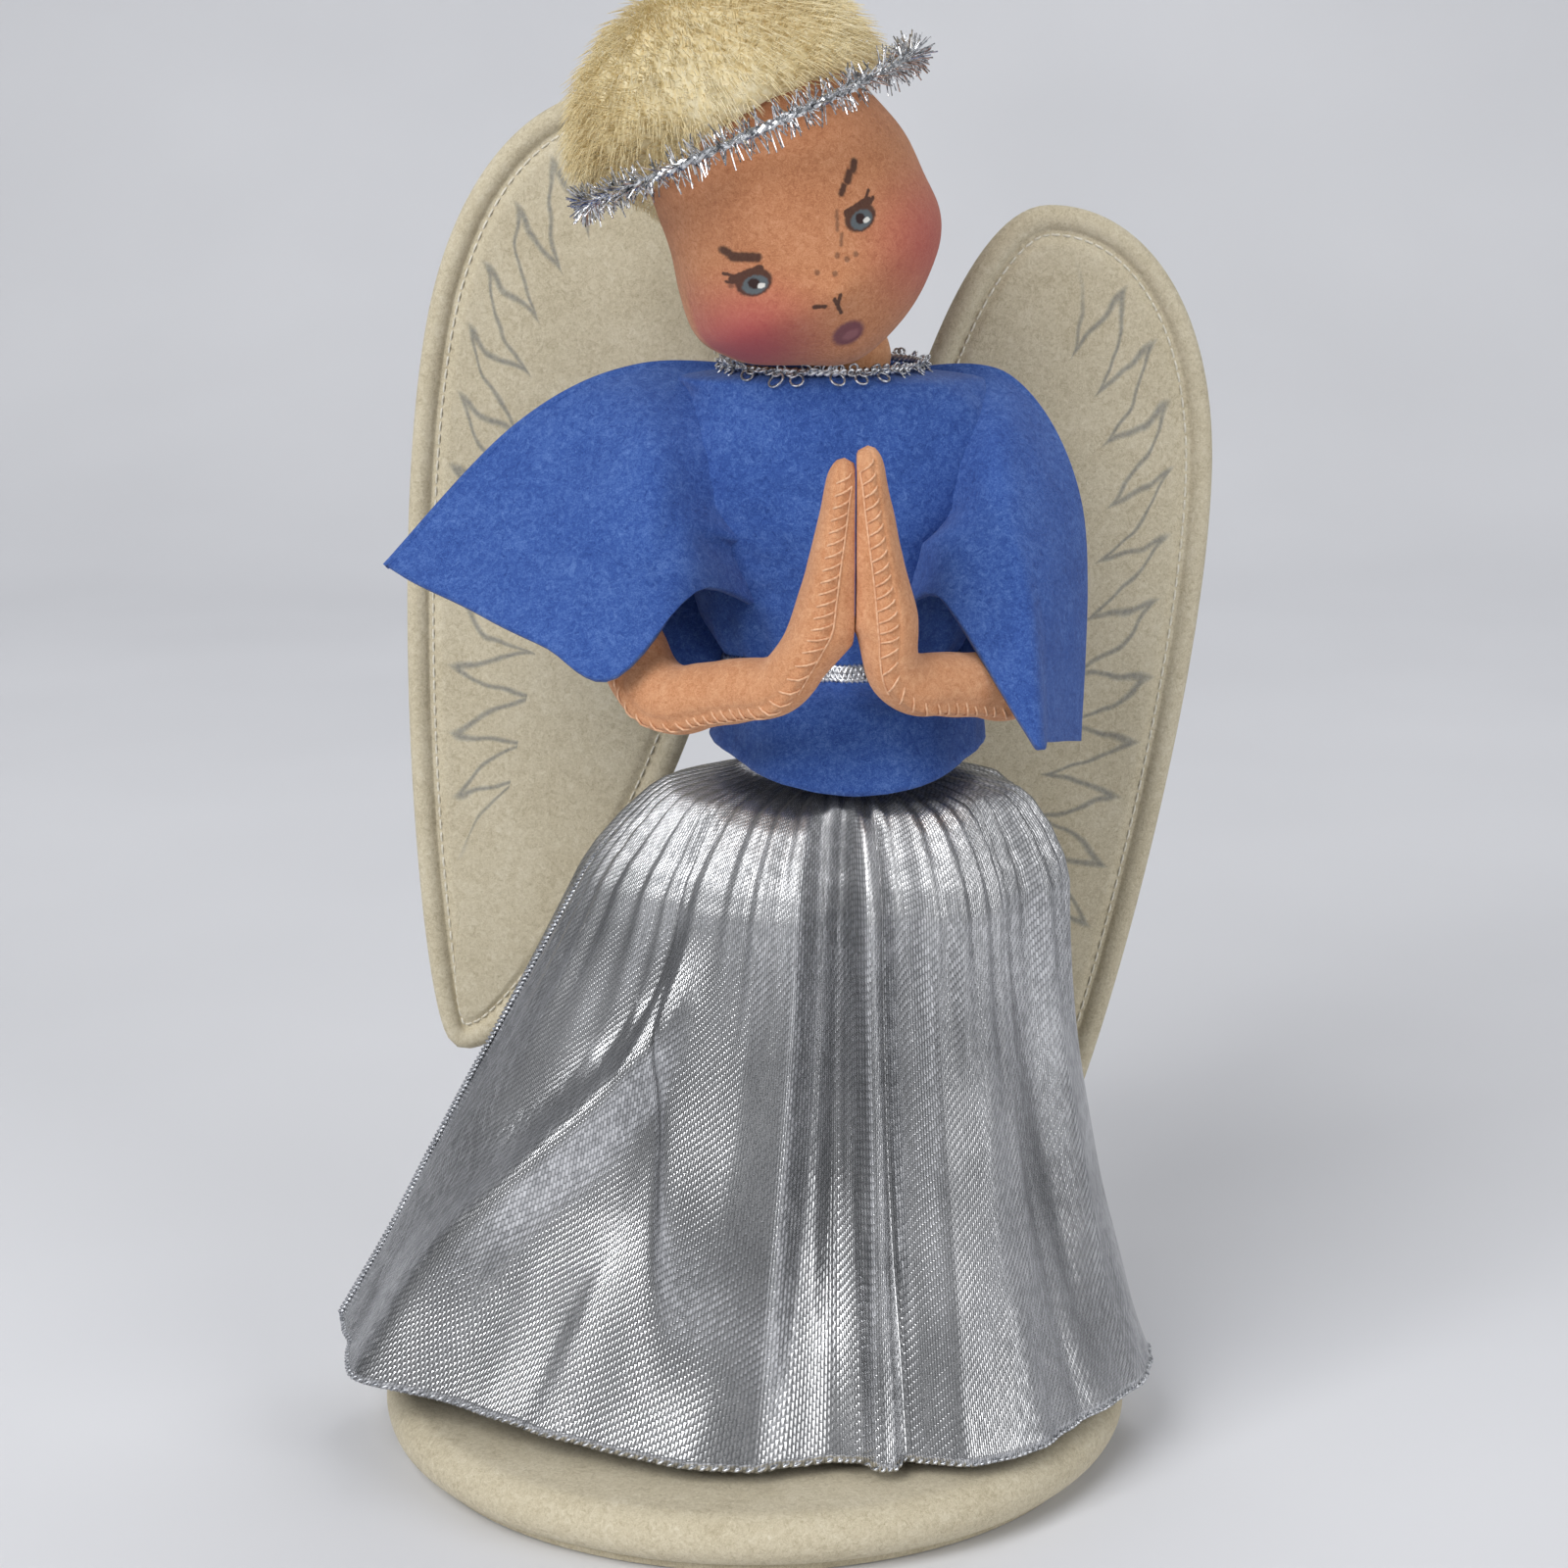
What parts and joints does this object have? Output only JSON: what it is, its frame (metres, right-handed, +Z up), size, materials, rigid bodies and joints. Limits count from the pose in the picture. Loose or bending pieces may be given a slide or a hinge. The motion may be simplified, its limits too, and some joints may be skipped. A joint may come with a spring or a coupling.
{
  "type": "felt angel doll",
  "caption": "Standing felt angel figure on a round padded base: wired wings, bent arms with joined hands, wide-sleeved tunic, gathered skirt and tinsel band.",
  "frame": {"origin": "middle of the base's underside, on the surface it stands on", "axes": "+Z up, the figure faces -Y, +X to the figure's left"},
  "size_m": [0.172, 0.144, 0.2784],
  "materials": {
    "felt_cream": "matte",
    "felt_skin": "matte",
    "felt_face": "matte",
    "felt_body": "matte",
    "felt_blue": "matte",
    "plush_blond": "matte",
    "lame_silver": "satin",
    "braid_silver": "satin",
    "tinsel_silver": "gloss",
    "band_fabric": "matte",
    "board": "matte",
    "wire": "satin"
  },
  "bodies": {
    "body": {"base_underlay": "felt_cream", "base_board": "board", "base_cover": "felt_cream", "right_leg": "felt_skin", "left_leg": "felt_skin", "right_leg_wire": "wire", "left_leg_wire": "wire", "torso": "felt_body", "spine_wire": "wire", "yoke_wire": "wire", "tunic": "felt_blue", "belt": "braid_silver", "collar_trim": "braid_silver", "skirt": "lame_silver", "skirt_waistband": "band_fabric", "wing_pad": "felt_cream"},
    "neck": {"neck": "felt_skin", "neck_wire": "wire"},
    "head": {"head": "felt_face", "head_wire": "wire", "hair": "plush_blond", "halo": "tinsel_silver"},
    "right_upper_arm": {"right_upper_arm": "felt_skin", "right_upper_arm_wire": "wire", "right_sleeve": "felt_blue"},
    "right_forearm": {"right_forearm": "felt_skin", "right_forearm_wire": "wire"},
    "right_hand": {"right_hand": "felt_skin", "right_hand_wire": "wire"},
    "right_wing": {"right_wing_front": "felt_cream", "right_wing_back": "felt_cream", "right_wing_wire": "wire"},
    "left_upper_arm": {"left_upper_arm": "felt_skin", "left_upper_arm_wire": "wire", "left_sleeve": "felt_blue"},
    "left_forearm": {"left_forearm": "felt_skin", "left_forearm_wire": "wire"},
    "left_hand": {"left_hand": "felt_skin", "left_hand_wire": "wire"},
    "left_wing": {"left_wing_front": "felt_cream", "left_wing_back": "felt_cream", "left_wing_wire": "wire"}
  },
  "joints": [
    {"name": "neck_turn", "type": "hinge", "parent": "body", "child": "neck", "pos_m": [0.0175, -0.002, 0.2087], "axis": [0, 0, 1], "range_deg": [-10, 18]},
    {"name": "head_tilt", "type": "hinge", "parent": "neck", "child": "head", "pos_m": [0.0175, -0.002, 0.2087], "axis": [0, 1, 0], "range_deg": [0, 32]},
    {"name": "right_shoulder", "type": "hinge", "parent": "body", "child": "right_upper_arm", "pos_m": [-0.0098, 0, 0.1947], "axis": [0, 1, 0], "range_deg": [0, 40], "deforming": ["right_sleeve"]},
    {"name": "right_elbow", "type": "hinge", "parent": "right_upper_arm", "child": "right_forearm", "pos_m": [-0.0168, -0.028, 0.1527], "axis": [0, 0, -1], "range_deg": [0, 70]},
    {"name": "right_wrist", "type": "hinge", "parent": "right_forearm", "child": "right_hand", "pos_m": [0.00752, -0.046, 0.1567], "axis": [0, -1, 0], "range_deg": [0, 30]},
    {"name": "left_shoulder", "type": "hinge", "parent": "body", "child": "left_upper_arm", "pos_m": [0.0418, 0, 0.1947], "axis": [0, -1, 0], "range_deg": [0, 40], "deforming": ["left_sleeve"]},
    {"name": "left_elbow", "type": "hinge", "parent": "left_upper_arm", "child": "left_forearm", "pos_m": [0.0488, -0.028, 0.1527], "axis": [0, 0, 1], "range_deg": [0, 70]},
    {"name": "left_wrist", "type": "hinge", "parent": "left_forearm", "child": "left_hand", "pos_m": [0.02448, -0.046, 0.1567], "axis": [0, 1, 0], "range_deg": [0, 30]},
    {"name": "right_wing_fold", "type": "hinge", "parent": "body", "child": "right_wing", "pos_m": [-0.0035, 0.02968, 0.1897], "axis": [0, 0, -1], "range_deg": [-3, 45]},
    {"name": "left_wing_fold", "type": "hinge", "parent": "body", "child": "left_wing", "pos_m": [0.0235, 0.02968, 0.1477], "axis": [0, 0, 1], "range_deg": [-3, 45]}
  ]
}
